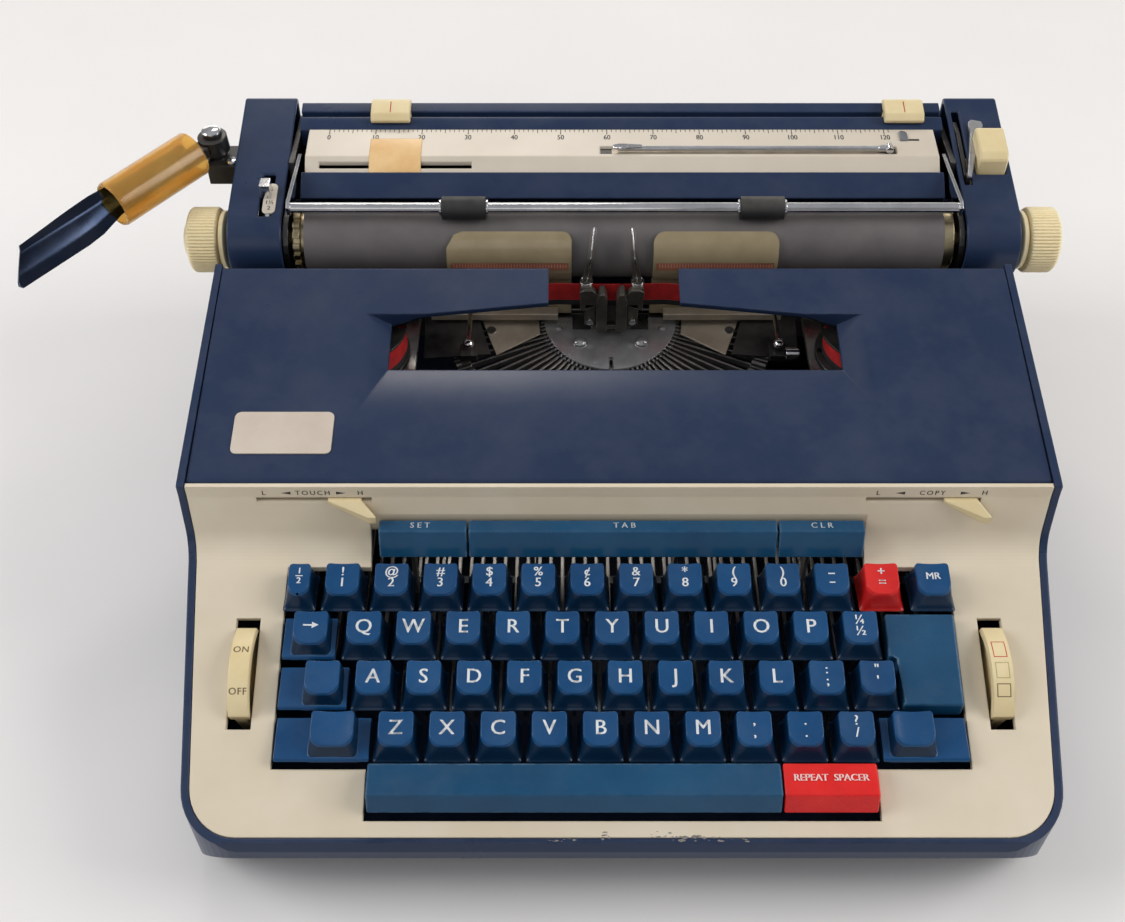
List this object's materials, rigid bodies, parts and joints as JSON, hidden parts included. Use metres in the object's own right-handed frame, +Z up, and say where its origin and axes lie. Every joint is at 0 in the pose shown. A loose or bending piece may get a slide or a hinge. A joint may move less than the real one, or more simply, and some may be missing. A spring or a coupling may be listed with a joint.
{
  "type": "electric portable typewriter",
  "caption": "Portable electric typewriter with a sloping keyboard, hinged ribbon cover, type basket, moving carriage, platen and return lever.",
  "frame": {"origin": "on the table plane of the feet, under the middle of the body", "axes": "+X to the typist's right, +Y to the back, +Z up"},
  "size_m": [0.4486, 0.344, 0.1499],
  "materials": {
    "blue_paint": "satin navy paint",
    "cream_panel": "satin cream moulding",
    "cream_plastic": "yellowed cream moulding",
    "blue_key": "glossy blue moulding",
    "red_key": "glossy red moulding",
    "steel": "plain steel",
    "dark_steel": "blackened steel",
    "chrome": "bright plated",
    "rubber": "ground rubber",
    "ribbon_ink": "inked ribbon",
    "black_plastic": "black moulding",
    "clear_plastic": "clear yellowed sheet",
    "amber_sleeve": "aged translucent tube",
    "motor_can": "grey enamel"
  },
  "bodies": {
    "body": {"base_plate": "blue_paint", "front_rim": "blue_paint", "side_cheeks": "blue_paint", "keyboard_panel": "cream_panel", "rubber_feet": "rubber", "chassis": "steel", "fulcrum_shaft": "steel", "type_segment": "chrome", "typebars": "dark_steel", "type_guide": "dark_steel", "card_holders": "clear_plastic", "ribbon": "ribbon_ink", "motor": "motor_can", "drive_belt": "rubber", "carriage_rails": "steel", "cord_gland": "black_plastic"},
    "cover": {"ribbon_cover": "blue_paint"},
    "carriage": {"carriage_frame": "dark_steel", "end_covers": "blue_paint", "paper_table": "blue_paint", "scale_panel": "cream_panel", "margin_rail": "blue_paint", "lever_bracket": "black_plastic"},
    "platen": {"platen_roller": "rubber", "platen_shaft": "steel", "platen_knobs": "cream_plastic"},
    "feed": {"feed_roller": "rubber"},
    "bail": {"paper_bail": "chrome"},
    "bail_rolls": {"bail_rollers": "rubber"},
    "lever": {"return_lever": "chrome", "lever_sleeve": "amber_sleeve"},
    "line_space": {"line_space_lever": "chrome"},
    "paper_release": {"paper_release_lever": "chrome"},
    "release_button": {"carriage_release": "cream_plastic"},
    "support": {"paper_support": "chrome"},
    "left_stop": {"left_margin_stop": "cream_plastic"},
    "right_stop": {"right_margin_stop": "cream_plastic"},
    "power": {"power_rocker": "cream_plastic"},
    "selector": {"ribbon_selector": "cream_plastic"},
    "touch": {"touch_lever": "cream_plastic"},
    "copy": {"copy_lever": "cream_plastic"},
    "spool_left": {"left_spool": "dark_steel"},
    "spool_right": {"right_spool": "dark_steel"},
    "drive": {"power_roller": "steel"},
    "motor_shaft": {"motor_pulley": "steel"},
    "typebar": {"centre_typebar": "dark_steel"},
    "number_row": {"number_keys": "blue_key", "number_levers": "steel"},
    "upper_row": {"upper_keys": "blue_key", "upper_levers": "steel"},
    "home_row": {"home_keys": "blue_key", "home_levers": "steel"},
    "lower_row": {"lower_keys": "blue_key", "lower_levers": "steel"},
    "shift": {"shift_keys": "blue_key"},
    "return": {"return_key": "blue_key"},
    "space": {"space_bar": "blue_key"},
    "repeat": {"repeat_key": "red_key"},
    "tab": {"tab_bar": "blue_key"},
    "tab_set": {"tab_set_keys": "blue_key"}
  },
  "joints": [
    {"name": "cover_hinge", "type": "hinge", "parent": "body", "child": "cover", "pos_m": [0, -0.0462, 0.1013], "axis": [1, 0, 0], "range_deg": [0, 75]},
    {"name": "carriage_slide", "type": "slide", "parent": "body", "child": "carriage", "axis": [1, 0, 0], "range_m": [-0.12, 0.112]},
    {"name": "platen_turn", "type": "hinge", "parent": "carriage", "child": "platen", "pos_m": [0.005, 0.08902, 0.1125], "axis": [1, 0, 0], "continuous": true},
    {"name": "feed_turn", "type": "hinge", "parent": "carriage", "child": "feed", "pos_m": [0.005, 0.10572, 0.0985], "axis": [1, 0, 0], "continuous": true},
    {"name": "bail_tilt", "type": "hinge", "parent": "carriage", "child": "bail", "pos_m": [0.005, 0.12202, 0.1305], "axis": [-1, 0, 0], "range_deg": [0, 40]},
    {"name": "bail_roll", "type": "hinge", "parent": "bail", "child": "bail_rolls", "pos_m": [0.005, 0.08412, 0.13384], "axis": [1, 0, 0], "continuous": true},
    {"name": "return_swing", "type": "hinge", "parent": "carriage", "child": "lever", "pos_m": [-0.18, 0.12472, 0.1403], "axis": [0, 0, 1], "range_deg": [0, 26], "stiffness_Nm_per_rad": 0.6, "springref_deg": -6.88},
    {"name": "line_space_slide", "type": "slide", "parent": "carriage", "child": "line_space", "axis": [0, 1, 0], "range_m": [-0.007, 0.007]},
    {"name": "paper_release_tilt", "type": "hinge", "parent": "carriage", "child": "paper_release", "pos_m": [0.1593, 0.13902, 0.1345], "axis": [-1, 0, 0], "range_deg": [0, 20]},
    {"name": "release_press", "type": "slide", "parent": "carriage", "child": "release_button", "axis": [0, 0, -1], "range_m": [0, 0.003], "stiffness_N_per_m": 400, "springref_m": -0.002},
    {"name": "support_lift", "type": "hinge", "parent": "carriage", "child": "support", "pos_m": [0.126, 0.12252, 0.1378], "axis": [0, 1, 0], "range_deg": [0, 90]},
    {"name": "left_stop_slide", "type": "slide", "parent": "carriage", "child": "left_stop", "axis": [1, 0, 0], "range_m": [-0.03, 0.08]},
    {"name": "right_stop_slide", "type": "slide", "parent": "carriage", "child": "right_stop", "axis": [1, 0, 0], "range_m": [-0.1, 0.006]},
    {"name": "power_rock", "type": "hinge", "parent": "body", "child": "power", "pos_m": [-0.1445, -0.10249, 0.04225], "axis": [1, 0, 0], "range_deg": [-6, 6]},
    {"name": "selector_rock", "type": "hinge", "parent": "body", "child": "selector", "pos_m": [0.1445, -0.10249, 0.04225], "axis": [1, 0, 0], "range_deg": [-6, 6]},
    {"name": "touch_slide", "type": "slide", "parent": "body", "child": "touch", "axis": [1, 0, 0], "range_m": [-0.026, 0.003]},
    {"name": "copy_slide", "type": "slide", "parent": "body", "child": "copy", "axis": [1, 0, 0], "range_m": [-0.029, 0.001]},
    {"name": "spool_left_turn", "type": "hinge", "parent": "body", "child": "spool_left", "pos_m": [-0.112, 0.04002, 0.0892], "axis": [0, 0, 1], "continuous": true},
    {"name": "spool_right_turn", "type": "hinge", "parent": "body", "child": "spool_right", "pos_m": [0.112, 0.04002, 0.0892], "axis": [0, 0, 1], "continuous": true},
    {"name": "drive_turn", "type": "hinge", "parent": "body", "child": "drive", "pos_m": [0, 0.058, 0.038], "axis": [1, 0, 0], "continuous": true},
    {"name": "motor_turn", "type": "hinge", "parent": "body", "child": "motor_shaft", "pos_m": [0.02, 0.11502, 0.042], "axis": [1, 0, 0], "continuous": true},
    {"name": "typebar_swing", "type": "hinge", "parent": "body", "child": "typebar", "pos_m": [0, 0.04757, 0.07112], "axis": [-1, 0, 0], "range_deg": [0, 118], "stiffness_Nm_per_rad": 0.002, "springref_deg": -5.73},
    {"name": "number_row_press", "type": "hinge", "parent": "body", "child": "number_row", "pos_m": [0, 0.02, 0.046], "axis": [1, 0, 0], "range_deg": [0, 2.5], "stiffness_Nm_per_rad": 16, "springref_deg": -1.72},
    {"name": "upper_row_press", "type": "hinge", "parent": "body", "child": "upper_row", "pos_m": [0, 0.02, 0.046], "axis": [1, 0, 0], "range_deg": [0, 2.1], "stiffness_Nm_per_rad": 16, "springref_deg": -1.72},
    {"name": "home_row_press", "type": "hinge", "parent": "body", "child": "home_row", "pos_m": [0, 0.02, 0.046], "axis": [1, 0, 0], "range_deg": [0, 1.8], "stiffness_Nm_per_rad": 16, "springref_deg": -1.72},
    {"name": "lower_row_press", "type": "hinge", "parent": "body", "child": "lower_row", "pos_m": [0, 0.02, 0.046], "axis": [1, 0, 0], "range_deg": [0, 1.6], "stiffness_Nm_per_rad": 16, "springref_deg": -1.72},
    {"name": "shift_press", "type": "hinge", "parent": "body", "child": "shift", "pos_m": [0, 0.02, 0.046], "axis": [1, 0, 0], "range_deg": [0, 1.6], "stiffness_Nm_per_rad": 14, "springref_deg": -1.72},
    {"name": "return_press", "type": "hinge", "parent": "body", "child": "return", "pos_m": [0, 0.02, 0.046], "axis": [1, 0, 0], "range_deg": [0, 1.9], "stiffness_Nm_per_rad": 5, "springref_deg": -1.72},
    {"name": "space_press", "type": "hinge", "parent": "body", "child": "space", "pos_m": [0, 0.02, 0.046], "axis": [1, 0, 0], "range_deg": [0, 1.4], "stiffness_Nm_per_rad": 7, "springref_deg": -1.72},
    {"name": "repeat_press", "type": "hinge", "parent": "body", "child": "repeat", "pos_m": [0, 0.02, 0.046], "axis": [1, 0, 0], "range_deg": [0, 1.4], "stiffness_Nm_per_rad": 4, "springref_deg": -1.72},
    {"name": "tab_press", "type": "hinge", "parent": "body", "child": "tab", "pos_m": [0, 0.02, 0.046], "axis": [1, 0, 0], "range_deg": [0, 2.5], "stiffness_Nm_per_rad": 5, "springref_deg": -1.72},
    {"name": "tab_set_press", "type": "hinge", "parent": "body", "child": "tab_set", "pos_m": [0, 0.02, 0.046], "axis": [1, 0, 0], "range_deg": [0, 2.5], "stiffness_Nm_per_rad": 5, "springref_deg": -1.72}
  ],
  "couplings": [
    {"joint": "feed_turn", "follows": "platen_turn", "ratio": -3.3674},
    {"joint": "bail_roll", "follows": "platen_turn", "ratio": -3.3},
    {"joint": "spool_right_turn", "follows": "spool_left_turn", "ratio": 1},
    {"joint": "motor_turn", "follows": "drive_turn", "ratio": 2}
  ]
}
